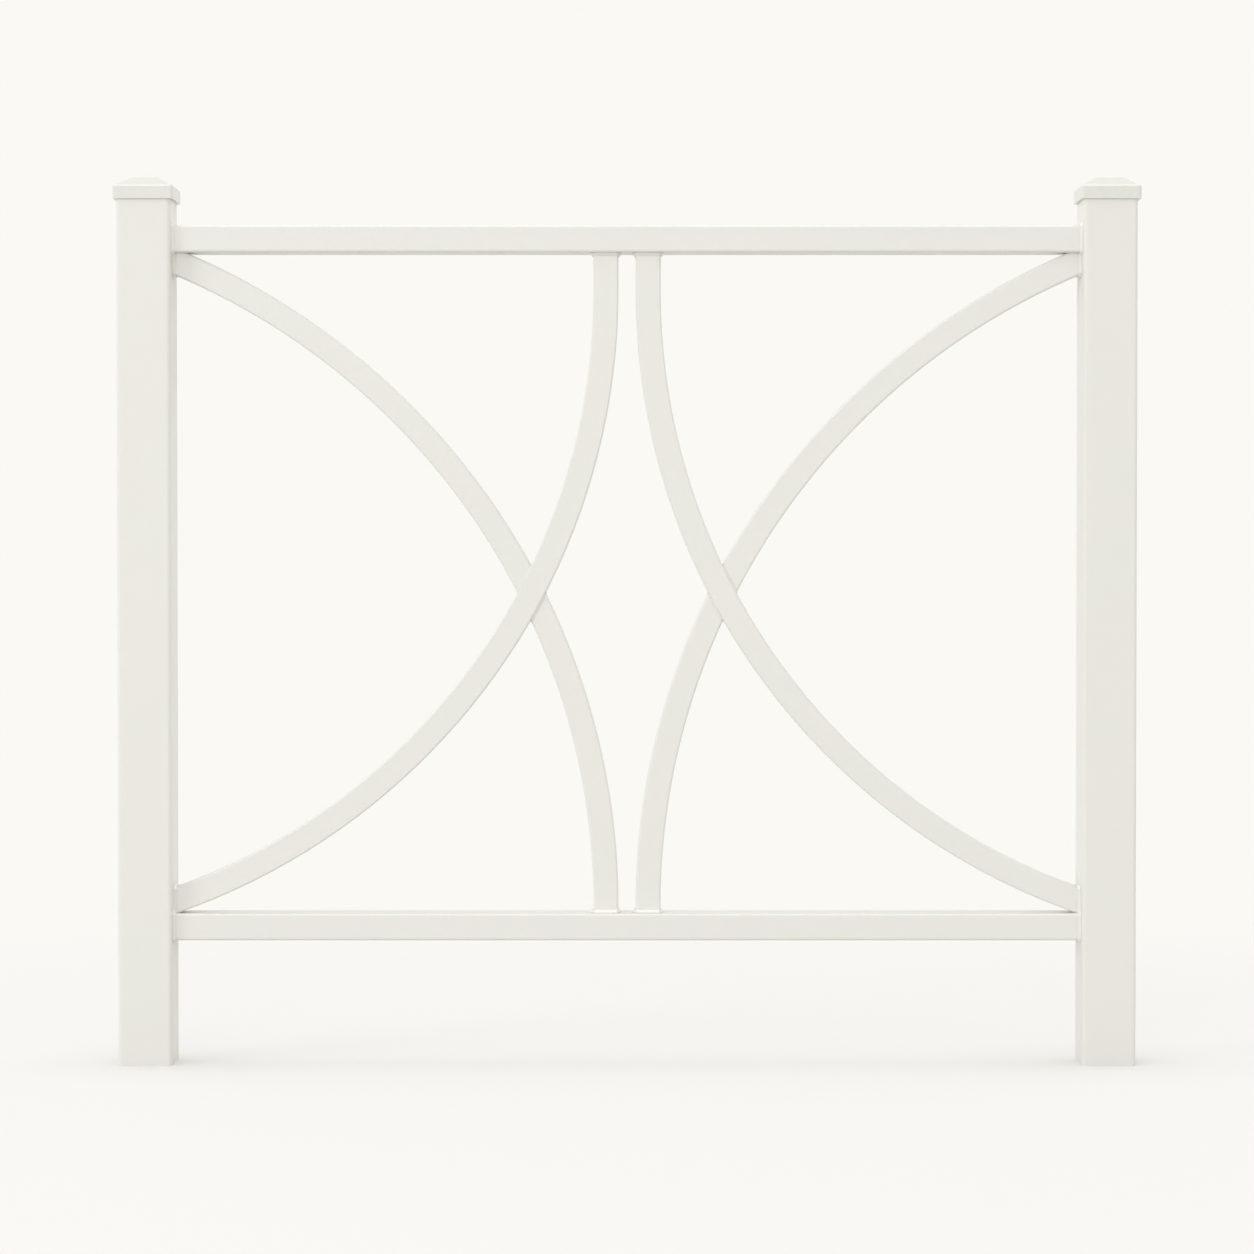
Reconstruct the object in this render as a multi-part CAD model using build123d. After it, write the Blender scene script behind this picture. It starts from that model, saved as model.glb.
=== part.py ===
from build123d import *
import math
import os

# Street barrier: two capped square posts, two rails, and four curved bars that cross in mirrored pairs.
# Millimetres. The origin is the middle of the left post's foot on the ground.
# +X runs along the panel to the right post, +Y from the front to the back, +Z up.

# Posts
post_side = 60.0
post_wall = 3.0
post_corner_radius = 4.5
post_height = 973.0
post_spacing = 1070.0

# Rails
rail_height = 30.0
rail_depth = 40.0
rail_wall = 2.5
rail_corner_radius = 3.0
bottom_rail_underside = 138.5
top_rail_drop = 40.0

# Curved bars
bar_width = 28.0
bar_wall = 2.0
bar_corner_ease = 1.6
through_bar_depth = 25.0
cut_bar_depth = 20.0
middle_bar_spacing = 47.0
through_bar_lead = 43.0
cut_bar_lead = 8.0
through_bar_rise = 13.0
cut_bar_rise = 8.5

# Caps
cap_clearance = 0.3
cap_wall = 3.2
cap_skirt_overlap = 12.0
cap_top_thickness = 3.5
cap_edge_radius = 2.5
cap_corner_radius = 3.5
cap_dome_rise = 10.0
cap_dome_margin = 0.5
cap_dome_flat = 29.0
cap_dome_blend = 18.0
cap_inner_wall = 3.0

# Welds
weld_leg = 3.5
crossing_weld_leg = 1.5
weld_edge = 0.5
weld_root = 0.5

# Working values
post_inner_face = post_side / 2
panel_middle = post_spacing / 2
bottom_rail_top = bottom_rail_underside + rail_height
top_rail_underside = post_height - top_rail_drop - rail_height
cap_inside = post_side + 2 * cap_clearance
cap_outside = cap_inside + 2 * cap_wall
cap_skirt_bottom = post_height - cap_skirt_overlap
cap_shoulder_top = post_height + cap_top_thickness

PARTS = "parts"


def rounded_prism(width, depth, radius, bottom, top):
    """An upright bar of rounded rectangular section, centred on the Z axis."""
    section = Plane.XY.offset(bottom) * RectangleRounded(width, depth, radius)
    return extrude(section, amount=top - bottom)


def eased(width, depth, ease):
    """A rectangular section whose corners are eased by a small flat."""
    return chamfer(Rectangle(width, depth).vertices(), ease)


def post_solid():
    """The left post's outer form, without its hollow."""
    return rounded_prism(post_side, post_side, post_corner_radius, 0, post_height)


def post():
    """A square tube, open at its foot and at its top under the cap."""
    inside = post_side - 2 * post_wall
    hollow = rounded_prism(inside, inside, post_corner_radius - post_wall, 0, post_height)
    return post_solid() - hollow


def dome(half_width, rise, base, foot):
    """A low four-sided dome on a square foot: its sides lean in and bend softly into a flat crown."""
    square = Plane.XY.offset(base) * Rectangle(2 * half_width, 2 * half_width)
    lean = math.degrees(math.atan2(half_width - cap_dome_flat / 2, rise))
    slopes = extrude(square, amount=rise, taper=lean)
    slopes = fillet(slopes.faces().sort_by(Axis.Z)[-1].edges(), cap_dome_blend)
    return slopes + extrude(square, amount=-foot)


def cap():
    """A cap that sits on the post's top edge: a square skirt, a rounded shoulder and a low dome."""
    body = rounded_prism(cap_outside, cap_outside, cap_corner_radius, cap_skirt_bottom, cap_shoulder_top)
    body = fillet(body.faces().sort_by(Axis.Z)[-1].edges(), cap_edge_radius)
    dome_half_width = cap_outside / 2 - cap_edge_radius - cap_dome_margin
    body = body + dome(dome_half_width, cap_dome_rise, cap_shoulder_top, cap_top_thickness / 2)
    socket = rounded_prism(
        cap_inside, cap_inside, post_corner_radius + cap_clearance, cap_skirt_bottom, post_height
    )
    hollow_rise = cap_dome_rise + cap_top_thickness - cap_inner_wall
    hollow = dome(dome_half_width - cap_inner_wall, hollow_rise, post_height, cap_skirt_overlap / 2)
    return body - socket - hollow


def rail_solid(underside):
    """A rail's outer form between the posts, without its hollow."""
    section = RectangleRounded(rail_depth, rail_height, rail_corner_radius)
    place = Plane(origin=(post_inner_face, 0, underside + rail_height / 2), x_dir=(0, 1, 0), z_dir=(1, 0, 0))
    return extrude(place * section, amount=post_spacing - post_side)


def rail(underside):
    """A rectangular tube between the posts' inner faces."""
    inner = RectangleRounded(
        rail_depth - 2 * rail_wall, rail_height - 2 * rail_wall, rail_corner_radius - rail_wall
    )
    place = Plane(origin=(post_inner_face, 0, underside + rail_height / 2), x_dir=(0, 1, 0), z_dir=(1, 0, 0))
    return rail_solid(underside) - extrude(place * inner, amount=post_spacing - post_side)


class Bar:
    """A left-hand curved bar: upright at the middle of one rail, then one arc to the post at the other rail."""

    def __init__(self, depth, lead, rise, foot, way):
        self.depth = depth
        self.way = way
        self.start = Vector(panel_middle - middle_bar_spacing / 2, 0, foot)
        self.bend = self.start + Vector(0, 0, way * lead)
        far_rail = top_rail_underside if way > 0 else bottom_rail_top
        self.end = Vector(post_inner_face, 0, far_rail - way * rise)
        across = self.bend.X - self.end.X
        along = abs(self.end.Z - self.bend.Z)
        self.radius = (across**2 + along**2) / (2 * across)
        self.centre = Vector(self.bend.X - self.radius, 0, self.bend.Z)

    def point(self, angle, offset=0.0):
        """A point on the arc, at an angle from the bend, and offset across the bar."""
        reach = self.radius + offset
        return self.centre + Vector(reach * math.cos(angle), 0, self.way * reach * math.sin(angle))

    def end_angle(self):
        """The angle at which the middle of the bar meets the post."""
        return math.acos((self.end.X - self.centre.X) / self.radius)

    def direction(self, angle):
        """The way that the bar runs at an angle, away from the bend."""
        return Vector(-math.sin(angle), 0, self.way * math.cos(angle))

    def path(self):
        """The middle line, run on into the post so that the end can be trimmed to it."""
        last = self.end_angle() + post_side / 2 / self.radius
        arc = ThreePointArc(self.bend, self.point(last / 2), self.point(last))
        return Wire([Line(self.start, self.bend).edge(), arc.edge()])

    def swept(self, section):
        """A section swept along the middle line."""
        place = Plane(origin=self.start, x_dir=(1, 0, 0), z_dir=(0, 0, self.way))
        return sweep(place * section, path=self.path())

    def solid(self):
        """The bar's outer form, untrimmed."""
        return self.swept(eased(bar_width, self.depth, bar_corner_ease))

    def tube(self):
        """The hollow bar, untrimmed."""
        return self.solid() - self.swept(Rectangle(bar_width - 2 * bar_wall, self.depth - 2 * bar_wall))


through_bar = Bar(through_bar_depth, through_bar_lead, through_bar_rise, top_rail_underside, -1)
cut_bar = Bar(cut_bar_depth, cut_bar_lead, cut_bar_rise, bottom_rail_top, 1)


def crossing_angles():
    """The angles on the through bar and the cut bar where their middle lines cross."""
    gap = cut_bar.centre - through_bar.centre
    apart = gap.length
    along = (apart**2 + through_bar.radius**2 - cut_bar.radius**2) / (2 * apart)
    aside = math.sqrt(through_bar.radius**2 - along**2)
    unit = gap.normalized()
    cross = through_bar.centre + unit * along + Vector(-unit.Z, 0, unit.X) * aside
    if cross.X < through_bar.centre.X:
        cross = through_bar.centre + unit * along - Vector(-unit.Z, 0, unit.X) * aside
    on_through = math.acos((cross.X - through_bar.centre.X) / through_bar.radius)
    on_cut = math.acos((cross.X - cut_bar.centre.X) / cut_bar.radius)
    return on_through, on_cut


def rim(place, width, depth, ease):
    """The corners of an eased rectangle on a plane, in order round it."""
    quarter = [(width / 2, depth / 2 - ease), (width / 2 - ease, depth / 2)]
    half = quarter + [(-x, y) for x, y in reversed(quarter)]
    return [place.from_local_coords((x, y, 0)) for x, y in half + [(-x, -y) for x, y in half]]


def frustum(lower, upper):
    """The body with flat faces between two rims that have as many corners each."""
    sides = [
        Face(Wire.make_polygon([lower[i - 1], lower[i], upper[i], upper[i - 1]])) for i in range(len(lower))
    ]
    ends = [Face(Wire.make_polygon(corners)) for corners in (lower, upper)]
    return Solid(Shell(sides + ends))


def bead(base, direction, normal, across, width, depth, ease, leg=weld_leg):
    """A weld's outer form round a tube's end: wide at the face it meets, and close to the tube one leg away.

    The tube leaves the face along direction, and its width is measured along across. The form starts
    one root below the face, so that it is cut back to a face that is curved too.
    """
    slant = direction.normalized().dot(normal.normalized())
    rims = []
    for rise, margin in ((-weld_root, leg + weld_root), (leg, weld_edge)):
        place = Plane(origin=base + direction.normalized() * (rise / slant), x_dir=across, z_dir=normal)
        rims.append(rim(place, width / slant + 2 * margin, depth + 2 * margin, ease + margin))
    return frustum(*rims)


def rail_bead(underside):
    """The weld's outer form round the rail's left end."""
    base = Vector(post_inner_face, 0, underside + rail_height / 2)
    ahead = Vector(1, 0, 0)
    return bead(base, ahead, ahead, Vector(0, 0, 1), rail_height, rail_depth, rail_corner_radius / 2)


def corner_weld(bar, underside):
    """The weld metal where a rail and a curved bar end on the left post."""
    away = bar.direction(bar.end_angle()) * -1
    on_post = bead(bar.end, away, Vector(1, 0, 0), Vector(0, 0, 1), bar_width, bar.depth, bar_corner_ease)
    return rail_bead(underside) + on_post - post_solid() - rail_solid(underside) - bar.solid()


def middle_weld(bar, underside):
    """The weld round the bar's upright end on the rail."""
    up = Vector(0, 0, bar.way)
    outer = bead(bar.start, up, up, Vector(1, 0, 0), bar_width, bar.depth, bar_corner_ease)
    return outer - bar.solid() - rail_solid(underside)


def crossing_weld(side):
    """The weld where one part of the cut bar meets the through bar; side is 1 above and -1 below."""
    on_through, on_cut = crossing_angles()
    normal = (through_bar.centre - through_bar.point(on_through)).normalized() * side
    away = cut_bar.direction(on_cut) * side
    face = cut_bar.point(on_cut) + away * (bar_width / 2 / away.dot(normal))
    along = through_bar.direction(on_through)
    outer = bead(face, away, normal, along, bar_width, cut_bar.depth, bar_corner_ease, crossing_weld_leg)
    return outer - through_bar.solid() - cut_bar.solid()


def mirrored(shape):
    """The same piece on the panel's right-hand side."""
    return mirror(shape, about=Plane.YZ.offset(panel_middle))


def save(name, shape):
    """Write one sub-part, as a single solid where it is one piece."""
    solids = shape.solids()
    piece = solids[0] if len(solids) == 1 else Compound(children=list(solids))
    piece.label = name
    export_step(piece, os.path.join(PARTS, name + ".step"))


def build():
    os.makedirs(PARTS, exist_ok=True)
    top_rail = top_rail_underside
    low_rail = bottom_rail_underside
    through = through_bar.tube() - post_solid() - rail_solid(low_rail)
    cut = cut_bar.tube() - post_solid() - rail_solid(top_rail) - through_bar.solid()
    lower_cut, upper_cut = cut.solids().sort_by(Axis.Z)
    pieces = {
        "post": post(),
        "post_cap": cap(),
        "through_bar": through,
        "upper_bar": upper_cut,
        "lower_bar": lower_cut,
        "top_corner_weld": corner_weld(cut_bar, top_rail),
        "bottom_corner_weld": corner_weld(through_bar, low_rail),
        "top_middle_weld": middle_weld(through_bar, top_rail),
        "bottom_middle_weld": middle_weld(cut_bar, low_rail),
        "upper_crossing_weld": crossing_weld(1),
        "lower_crossing_weld": crossing_weld(-1),
    }
    for name, shape in pieces.items():
        save("left_" + name, shape)
        save("right_" + name, mirrored(shape))
    save("top_rail", rail(top_rail))
    save("bottom_rail", rail(low_rail))


build()
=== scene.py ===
import math

import bmesh
import bpy
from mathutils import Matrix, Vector


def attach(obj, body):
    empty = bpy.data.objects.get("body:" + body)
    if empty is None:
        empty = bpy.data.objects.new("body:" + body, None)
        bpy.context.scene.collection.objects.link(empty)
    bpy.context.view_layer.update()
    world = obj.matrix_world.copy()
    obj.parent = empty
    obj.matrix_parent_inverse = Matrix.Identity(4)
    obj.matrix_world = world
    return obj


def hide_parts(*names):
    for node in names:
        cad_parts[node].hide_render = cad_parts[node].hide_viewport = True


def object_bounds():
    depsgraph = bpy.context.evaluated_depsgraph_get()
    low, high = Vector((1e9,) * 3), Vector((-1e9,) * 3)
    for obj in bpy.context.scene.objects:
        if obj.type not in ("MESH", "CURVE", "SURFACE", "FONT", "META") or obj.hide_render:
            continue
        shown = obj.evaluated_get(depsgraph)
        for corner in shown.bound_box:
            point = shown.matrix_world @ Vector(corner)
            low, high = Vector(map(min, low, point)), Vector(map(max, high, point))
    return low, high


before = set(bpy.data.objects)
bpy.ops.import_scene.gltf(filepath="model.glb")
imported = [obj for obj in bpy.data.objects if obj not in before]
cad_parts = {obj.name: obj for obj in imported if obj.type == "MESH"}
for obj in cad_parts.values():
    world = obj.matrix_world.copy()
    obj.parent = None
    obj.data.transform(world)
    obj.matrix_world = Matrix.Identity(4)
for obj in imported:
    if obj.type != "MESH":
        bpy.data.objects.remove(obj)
cad_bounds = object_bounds()

bl_info = {
    "name": "Street barrier",
    "version": (1, 0, 0),
    "blender": (4, 5, 0),
    "location": "3D View > Sidebar > Barrier",
    "description": "Dresses a welded steel street barrier in its powder coat and sets it in a pale studio",
    "category": "Object",
}

MM = 0.001
MERGE_DISTANCE = 0.001 * MM

SIDES = ("left", "right")
POSTS = [f"{side}_post" for side in SIDES]
CAPS = [f"{side}_post_cap" for side in SIDES]
RAILS = ["top_rail", "bottom_rail"]
BARS = [f"{side}_{bar}" for side in SIDES for bar in ("through_bar", "upper_bar", "lower_bar")]
WELDS = [
    f"{side}_{place}_weld"
    for side in SIDES
    for place in (
        "top_corner", "bottom_corner", "top_middle", "bottom_middle", "upper_crossing", "lower_crossing"
    )
]

# The coat is a polyester resin. Its noises stay mostly between the low and high values here.
COAT_IOR = 1.5
FILM_DETAIL = 3.0
TONE_LOW, TONE_HIGH = 0.38, 0.62
SHEEN_LOW, SHEEN_HIGH = 0.3, 0.7
SHEEN_SWING = 0.04
PEEL_DETAIL = 2.0

BAR_EDGE_ANGLE = math.radians(30)
BAR_EDGE_SEGMENTS = 3
BEAD_SOFTENING = 0.5
BEAD_SOFTENING_PASSES = 5

# The studio, in metres. A lamp's place is right of, behind and above the barrier's middle at ground level.
FLOOR_HALF_SIDE = 60.0
CONTACT_SAMPLES = 4
SENSOR_WIDTH_MM = 36.0
OVERHEAD_OUTWARDS, OVERHEAD_BACK, OVERHEAD_HEIGHT = 0.4, 0.1, 4.0
OVERHEAD_SIZE = (0.4, 0.4)
SOFTBOX_PLACE, SOFTBOX_SIZE = (0.0, -1.0, 4.5), (6.0, 3.5)
LEFT_PLACE, LEFT_SIZE = (-10.0, -6.0, 2.2), (4.0, 3.0)
FRONT_PLACE, FRONT_SIZE = (-1.5, -10.0, 1.6), (4.0, 2.0)


# Small helpers

def linear(hex_colour):
    """A linear colour from an sRGB hex value."""
    channels = [int(hex_colour[i:i + 2], 16) / 255 for i in (1, 3, 5)]
    return [c / 12.92 if c <= 0.04045 else ((c + 0.055) / 1.055) ** 2.4 for c in channels]


def opaque(colour):
    """A colour property as the four channels that a socket takes."""
    return (*colour, 1.0)


def colour(name, description, hex_colour):
    """A colour that a user can change, with its default given in sRGB."""
    return bpy.props.FloatVectorProperty(
        name=name, description=description, subtype="COLOR", size=3, min=0.0, max=1.0,
        default=linear(hex_colour),
    )


def length(name, description, metres):
    """A length that a user can change."""
    return bpy.props.FloatProperty(
        name=name, description=description, subtype="DISTANCE", unit="LENGTH", precision=5, default=metres
    )


def share(name, description, default):
    """A plain number that a user can change, from none to all."""
    return bpy.props.FloatProperty(
        name=name, description=description, subtype="FACTOR", min=0.0, max=1.0, default=default
    )


def level(name, description, default):
    """A brightness that a user can change, where one is white."""
    return bpy.props.FloatProperty(name=name, description=description, min=0.0, max=2.0, default=default)


def power(name, description, watts):
    """A lamp's power that a user can change."""
    return bpy.props.FloatProperty(name=name, description=description, subtype="POWER", default=watts)


def pick(sockets, key):
    """The socket at a number, or the socket of a name that is in use out of those that share it."""
    if isinstance(key, int):
        return sockets[key]
    return next(socket for socket in sockets if socket.name == key and socket.enabled)


def add(tree, kind, inputs=None, output=None, **settings):
    """Add a node with its settings, and return its named output, or the node itself where none is named.

    Each input takes a value or the socket that feeds it.
    """
    made = tree.nodes.new("ShaderNode" + kind)
    for name, value in settings.items():
        setattr(made, name, value)
    for key, value in (inputs or {}).items():
        socket = pick(made.inputs, key)
        if isinstance(value, bpy.types.NodeSocket):
            tree.links.new(value, socket)
        else:
            socket.default_value = value
    return pick(made.outputs, output) if output else made


def new_material(name):
    """A material with an empty node tree."""
    material = bpy.data.materials.new(name)
    material.use_nodes = True
    material.node_tree.nodes.clear()
    return material, material.node_tree


def paint(piece, material):
    """Give a piece its material in every slot, or in a first one."""
    if not piece.material_slots:
        piece.data.materials.append(material)
    for slot in piece.material_slots:
        slot.material = material


# Materials

def powder_coat(name, look, thin, thick, roughness):
    """Satin polyester powder coat, sprayed on and baked.

    The eye sees an even off-white skin with a soft sheen. A faint orange peel breaks up its highlights,
    and the white shifts slowly between a cooler and a warmer tone where the film is thinner or thicker.
    """
    material, tree = new_material(name)
    place = add(tree, "TexCoord", output="Object")
    film = add(
        tree, "TexNoise", {"Vector": place, "Scale": 1 / look.film_patch, "Detail": FILM_DETAIL},
        output="Fac",
    )
    film_share = add(
        tree, "MapRange", {"Value": film, "From Min": TONE_LOW, "From Max": TONE_HIGH}, output="Result"
    )
    tone = add(
        tree, "Mix", {"Factor": film_share, "A": opaque(thin), "B": opaque(thick)},
        output="Result", data_type="RGBA",
    )
    # The peel of a real coat has a pitch of about 1 mm, which is drawn coarser so that it shows.
    peel = add(
        tree, "TexNoise", {"Vector": place, "Scale": 1 / look.peel_pitch, "Detail": PEEL_DETAIL},
        output="Fac",
    )
    skin = add(
        tree, "Bump", {"Height": peel, "Distance": look.peel_height, "Strength": 1.0}, output="Normal"
    )
    sheen = add(
        tree, "MapRange",
        {
            "Value": film, "From Min": SHEEN_LOW, "From Max": SHEEN_HIGH,
            "To Min": roughness - SHEEN_SWING, "To Max": roughness + SHEEN_SWING,
        },
        output="Result",
    )
    coat = add(
        tree, "BsdfPrincipled", {"Base Color": tone, "Roughness": sheen, "IOR": COAT_IOR, "Normal": skin},
        output="BSDF",
    )
    add(tree, "OutputMaterial", {"Surface": coat})
    return material


def body_coat(name, look):
    """The coat of the posts, rails, bars and welds."""
    return powder_coat(name, look, look.cool_white, look.warm_white, look.roughness)


def seen_rays(tree):
    """One for the camera's rays and for reflections, and none for the light that falls on the barrier."""
    rays = add(tree, "LightPath")
    return add(
        tree, "Math",
        {0: pick(rays.outputs, "Is Camera Ray"), 1: pick(rays.outputs, "Is Glossy Ray")},
        output="Value", operation="ADD", use_clamp=True,
    )


def studio_paper(name, stage, middle):
    """Matt paper off a roll, laid as the studio's floor.

    The camera and reflections see it almost evenly pale, and only a faint shadow shows, deepened by a painted
    contact shadow round the posts' feet.
    """
    material, tree = new_material(name)
    seen = seen_rays(tree)
    tone = add(
        tree, "Mix", {"Factor": seen, "A": opaque(stage.bounce_colour), "B": opaque(stage.floor_colour)},
        output="Result", data_type="RGBA",
    )
    # Painted shadow: the paper's colour is darkened where a post stands close by, which paints a contact
    # shadow at its foot.
    open_share = add(
        tree, "AmbientOcclusion", {"Distance": stage.painted_contact_reach}, output="AO", samples=CONTACT_SAMPLES
    )
    contact = add(
        tree, "MapRange", {"Value": open_share, "To Min": 1 - stage.painted_contact_shade, "To Max": 1.0},
        output="Result",
    )
    painted_shadow_tone = add(tree, "VectorMath", {0: tone, "Scale": contact}, output="Vector", operation="SCALE")
    paper = add(tree, "BsdfDiffuse", {"Color": painted_shadow_tone}, output="BSDF")
    glow = add(
        tree, "Emission", {"Color": opaque(stage.backdrop_colour), "Strength": stage.floor_glow},
        output="Emission",
    )
    # The further from the barrier, the more the paper glows evenly instead of taking light and shade.
    place = add(tree, "TexCoord", output="Object")
    away = add(tree, "VectorMath", {0: place, 1: middle}, output="Value", operation="DISTANCE")
    evenness = add(
        tree, "MapRange",
        {
            "Value": away, "From Min": stage.shadow_reach / 2, "From Max": stage.shadow_reach,
            "To Min": stage.floor_evenness, "To Max": 1.0,
        },
        output="Result", interpolation_type="SMOOTHSTEP",
    )
    evened = add(tree, "Math", {0: seen, 1: evenness}, output="Value", operation="MULTIPLY")
    surface = add(tree, "MixShader", {0: evened, 1: paper, 2: glow}, output="Shader")
    add(tree, "OutputMaterial", {"Surface": surface})
    return material


# Sizes and colours that a user would change

class BarrierLook(bpy.types.PropertyGroup):
    """The finish of the barrier's pieces."""

    cool_white: colour("Cool white", "The coat where its film is thin", "#E9E9E4")
    warm_white: colour("Warm white", "The coat where its film is thick", "#EBE9E3")
    cap_cool_white: colour("Cap cool white", "The caps' coat, cooler tone", "#E3E4DD")
    cap_warm_white: colour("Cap warm white", "The caps' coat, warmer tone", "#E5E4DD")
    film_patch: length("Film patch", "How far apart the coat's tone shifts", 90 * MM)
    peel_pitch: length("Peel pitch", "From one bump of the orange peel to the next", 2.4 * MM)
    peel_height: length("Peel height", "How deep the orange peel is", 0.03 * MM)
    edge_rounding: length("Edge rounding", "The rounding of the bars' eased corners", 0.7 * MM)
    weld_grain: length("Weld grain", "The fineness of the weld beads' meshes", 0.4 * MM)
    roughness: share("Roughness", "How matt the coat is", 0.32)
    cap_roughness: share("Cap roughness", "How matt the caps' coat is", 0.26)


class BarrierStage(bpy.types.PropertyGroup):
    """The studio round the barrier."""

    floor_colour: colour("Floor colour", "The floor's own colour, as the camera sees it", "#FAF8F5")
    bounce_colour: colour("Bounce colour", "What the floor sends back up on to the barrier", "#CDCBC5")
    backdrop_colour: colour("Backdrop colour", "What the camera sees behind the barrier", "#FAF9F4")
    floor_glow: level("Floor glow", "How bright the evened floor is", 1.0)
    floor_evenness: share("Floor evenness", "How much of the floor's light and shade the camera misses", 0.25)
    shadow_reach: length("Shadow reach", "How far from the barrier the floor's shade fades out", 1.8)
    # Painted shadow: these two set the darkening painted into the floor's colour round the posts' feet.
    painted_contact_reach: length("Contact reach", "How far from a post's foot its contact shade goes", 0.15)
    painted_contact_shade: share("Contact shade", "How much darker the floor is where it is all hidden", 0.22)
    sky_side: level("Sky side", "The soft light from the studio's walls", 1.10)
    sky_top: level("Sky top", "The soft light from the studio's ceiling", 0.80)
    softbox_power: power("Softbox power", "The softbox that only glints on edges", 180.0)
    overhead_power: power("Overhead power", "Each lamp above a post", 5.0)
    left_power: power("Left power", "The lamp far to the left of the camera", 230.0)
    front_power: power("Front power", "The lamp behind the camera", 110.0)
    eye_distance: length("Camera distance", "From the camera to the barrier's middle plane", 3.752)
    eye_height: length("Camera height", "From the ground to the camera", 0.558)
    eye_drop: bpy.props.FloatProperty(
        name="Camera drop", description="How far the camera looks down", subtype="ANGLE",
        default=math.radians(1.084),
    )
    lens: bpy.props.FloatProperty(
        name="Lens", description="Focal length of the camera", subtype="DISTANCE_CAMERA", default=96.5
    )


# Pieces

def dress(nodes, material, rounding=0.0):
    """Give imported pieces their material, and round their sharper edges where a rounding is asked for."""
    for name in nodes:
        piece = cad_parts[name]
        paint(piece, material)
        if rounding > 0:
            weld = piece.modifiers.new("joined_faces", "WELD")
            weld.merge_threshold = MERGE_DISTANCE
            edges = piece.modifiers.new("eased_edges", "BEVEL")
            edges.limit_method = "ANGLE"
            edges.angle_limit = BAR_EDGE_ANGLE
            edges.width = rounding
            edges.segments = BAR_EDGE_SEGMENTS
            edges.harden_normals = True


class BARRIER_OT_posts(bpy.types.Operator):
    """Coat the two square posts"""

    bl_idname = "barrier.posts"
    bl_label = "Posts"

    def execute(self, context):
        dress(POSTS, body_coat("post_powder_coat", context.scene.barrier_look))
        return {"FINISHED"}


class BARRIER_OT_caps(bpy.types.Operator):
    """Coat the two post caps"""

    bl_idname = "barrier.caps"
    bl_label = "Caps"

    def execute(self, context):
        look = context.scene.barrier_look
        coat = powder_coat(
            "cap_powder_coat", look, look.cap_cool_white, look.cap_warm_white, look.cap_roughness
        )
        dress(CAPS, coat)
        return {"FINISHED"}


class BARRIER_OT_rails(bpy.types.Operator):
    """Coat the two rails"""

    bl_idname = "barrier.rails"
    bl_label = "Rails"

    def execute(self, context):
        dress(RAILS, body_coat("rail_powder_coat", context.scene.barrier_look))
        return {"FINISHED"}


class BARRIER_OT_bars(bpy.types.Operator):
    """Coat the curved bars and round their corners"""

    bl_idname = "barrier.bars"
    bl_label = "Curved bars"

    def execute(self, context):
        look = context.scene.barrier_look
        dress(BARS, body_coat("bar_powder_coat", look), look.edge_rounding)
        return {"FINISHED"}


def drop_crumbs(mesh):
    """Keep only the largest island of a mesh, because a remesh leaves crumbs at a bead's thin tips."""
    shape = bmesh.new()
    shape.from_mesh(mesh)
    waiting = set(shape.verts)
    islands = []
    while waiting:
        island = [waiting.pop()]
        for vert in island:
            near = {edge.other_vert(vert) for edge in vert.link_edges} & waiting
            island.extend(near)
            waiting -= near
        islands.append(island)
    crumbs = [vert for island in sorted(islands, key=len)[:-1] for vert in island]
    bmesh.ops.delete(shape, geom=crumbs, context="VERTS")
    shape.to_mesh(mesh)
    shape.free()


def weld_bead(node_name, look, coat):
    """A weld bead as the torch leaves it, softened all over, under its coat of powder."""
    mesh = bpy.data.meshes.new(node_name + "_bead")
    shape = bmesh.new()
    shape.from_mesh(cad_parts[node_name].data)
    bmesh.ops.remove_doubles(shape, verts=shape.verts, dist=MERGE_DISTANCE)
    shape.to_mesh(mesh)
    shape.free()
    bead = bpy.data.objects.new(node_name + "_bead", mesh)
    bpy.context.scene.collection.objects.link(bead)
    grain = bead.modifiers.new("grain", "REMESH")
    grain.mode = "VOXEL"
    grain.voxel_size = look.weld_grain
    soft = bead.modifiers.new("soft", "SMOOTH")
    soft.iterations = BEAD_SOFTENING_PASSES
    soft.factor = BEAD_SOFTENING
    depsgraph = bpy.context.evaluated_depsgraph_get()
    done = bpy.data.meshes.new_from_object(bead.evaluated_get(depsgraph))
    drop_crumbs(done)
    bead.modifiers.clear()
    bead.data = done
    bead.data.shade_smooth()
    paint(bead, coat)
    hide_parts(node_name)
    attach(bead, "root")


class BARRIER_OT_welds(bpy.types.Operator):
    """Make the weld beads where the tubes meet"""

    bl_idname = "barrier.welds"
    bl_label = "Welds"

    def execute(self, context):
        look = context.scene.barrier_look
        coat = body_coat("weld_powder_coat", look)
        for name in WELDS:
            weld_bead(name, look, coat)
        return {"FINISHED"}


# Studio

def lay_floor(scene, stage, ground_middle):
    """Lay the studio's floor."""
    shape = bmesh.new()
    bmesh.ops.create_grid(shape, x_segments=1, y_segments=1, size=FLOOR_HALF_SIDE)
    bmesh.ops.translate(shape, verts=shape.verts, vec=ground_middle)
    ground = bpy.data.meshes.new("floor")
    shape.to_mesh(ground)
    shape.free()
    floor = bpy.data.objects.new("floor", ground)
    scene.collection.objects.link(floor)
    paint(floor, studio_paper("studio_paper", stage, ground_middle))


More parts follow.
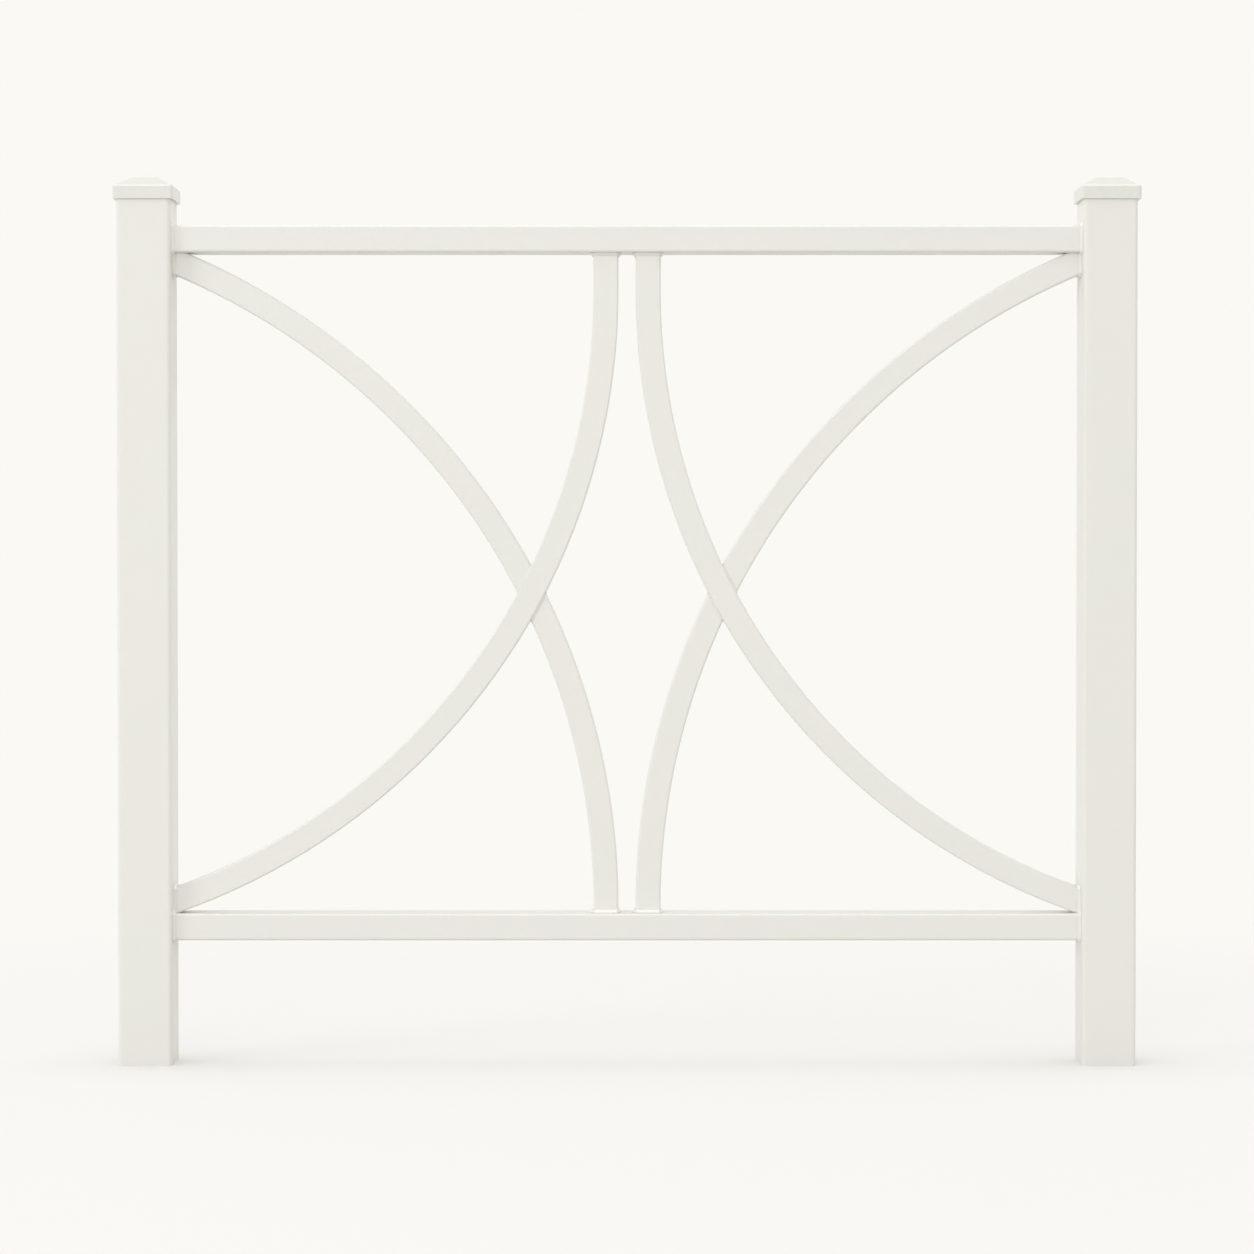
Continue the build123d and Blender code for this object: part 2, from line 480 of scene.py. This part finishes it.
def light_room(scene, stage):
    """Light the barrier softly from all round, and show a pale room to the camera and in reflections."""
    world = bpy.data.worlds.new("studio")
    world.use_nodes = True
    tree = world.node_tree
    tree.nodes.clear()
    way = add(tree, "TexCoord", output="Generated")
    height = add(tree, "SeparateXYZ", {"Vector": way}, output="Z")
    brightness = add(
        tree, "MapRange", {"Value": height, "To Min": stage.sky_side, "To Max": stage.sky_top},
        output="Result",
    )
    even = add(tree, "Background", {"Color": (1, 1, 1, 1), "Strength": brightness}, output="Background")
    pale = add(
        tree, "Background", {"Color": opaque(stage.backdrop_colour), "Strength": 1.0}, output="Background"
    )
    room = add(tree, "MixShader", {0: seen_rays(tree), 1: even, 2: pale}, output="Shader")
    add(tree, "OutputWorld", {"Surface": room})
    scene.world = world


def lamp(name, place, target, size, watts, glints=False, lights=True):
    """A soft rectangular lamp that points at a place, and glints on the pieces, lights them, or both."""
    light = bpy.data.lights.new(name, "AREA")
    light.shape = "RECTANGLE"
    light.size, light.size_y = size
    light.energy = watts
    body = bpy.data.objects.new(name, light)
    body.location = place
    body.visible_glossy = glints
    body.visible_diffuse = lights
    body.rotation_euler = (Vector(target) - Vector(place)).to_track_quat("-Z", "Y").to_euler()
    bpy.context.scene.collection.objects.link(body)


def hang_lamps(stage, ground_middle):
    """Hang the lamps: small ones over the posts, a softbox for the edges, and two large ones far away."""
    low, high = cad_bounds
    for name, x in (
        ("over_left_post", low.x - OVERHEAD_OUTWARDS), ("over_right_post", high.x + OVERHEAD_OUTWARDS)
    ):
        lamp(
            name, (x, OVERHEAD_BACK, OVERHEAD_HEIGHT), (x, OVERHEAD_BACK, 0.0), OVERHEAD_SIZE,
            stage.overhead_power, glints=True,
        )
    softbox = ground_middle + Vector(SOFTBOX_PLACE)
    lamp(
        "softbox", softbox, (softbox.x, softbox.y, 0.0), SOFTBOX_SIZE, stage.softbox_power,
        glints=True, lights=False,
    )
    middle = (low + high) / 2
    lamp("left", ground_middle + Vector(LEFT_PLACE), middle, LEFT_SIZE, stage.left_power)
    lamp("front", ground_middle + Vector(FRONT_PLACE), middle, FRONT_SIZE, stage.front_power)


def set_camera(scene, stage, ground_middle):
    """Put the camera where the photograph was taken from."""
    camera = bpy.data.objects.new("camera", bpy.data.cameras.new("camera"))
    camera.data.sensor_width = SENSOR_WIDTH_MM
    camera.data.lens = stage.lens
    camera.location = ground_middle + Vector((0.0, -stage.eye_distance, stage.eye_height))
    camera.rotation_euler = (math.radians(90) - stage.eye_drop, 0, 0)
    scene.collection.objects.link(camera)
    scene.camera = camera


class BARRIER_OT_stage(bpy.types.Operator):
    """Set the barrier on a pale floor, with soft light and the camera"""

    bl_idname = "barrier.stage"
    bl_label = "Stage"

    def execute(self, context):
        scene = context.scene
        stage = scene.barrier_stage
        low, high = cad_bounds
        ground_middle = Vector(((low.x + high.x) / 2, 0.0, 0.0))
        lay_floor(scene, stage, ground_middle)
        light_room(scene, stage)
        hang_lamps(stage, ground_middle)
        set_camera(scene, stage, ground_middle)
        scene.view_settings.view_transform = "Standard"
        return {"FINISHED"}


class BARRIER_PT_panel(bpy.types.Panel):
    """The barrier's operators, sizes and colours"""

    bl_idname = "BARRIER_PT_panel"
    bl_label = "Street barrier"
    bl_space_type = "VIEW_3D"
    bl_region_type = "UI"
    bl_category = "Barrier"

    def draw(self, context):
        for step in STEPS:
            self.layout.operator(step.bl_idname)
        for group in (context.scene.barrier_look, context.scene.barrier_stage):
            for name in group.__annotations__:
                self.layout.prop(group, name)


STEPS = (
    BARRIER_OT_posts, BARRIER_OT_caps, BARRIER_OT_rails, BARRIER_OT_bars, BARRIER_OT_welds, BARRIER_OT_stage
)
CLASSES = (BarrierLook, BarrierStage, *STEPS, BARRIER_PT_panel)


def register():
    for part in CLASSES:
        bpy.utils.register_class(part)
    bpy.types.Scene.barrier_look = bpy.props.PointerProperty(type=BarrierLook)
    bpy.types.Scene.barrier_stage = bpy.props.PointerProperty(type=BarrierStage)


def unregister():
    del bpy.types.Scene.barrier_look
    del bpy.types.Scene.barrier_stage
    for part in reversed(CLASSES):
        bpy.utils.unregister_class(part)


def main():
    register()
    bpy.ops.barrier.posts()
    bpy.ops.barrier.caps()
    bpy.ops.barrier.rails()
    bpy.ops.barrier.bars()
    bpy.ops.barrier.welds()
    bpy.ops.barrier.stage()


if __name__ == "__main__":
    main()
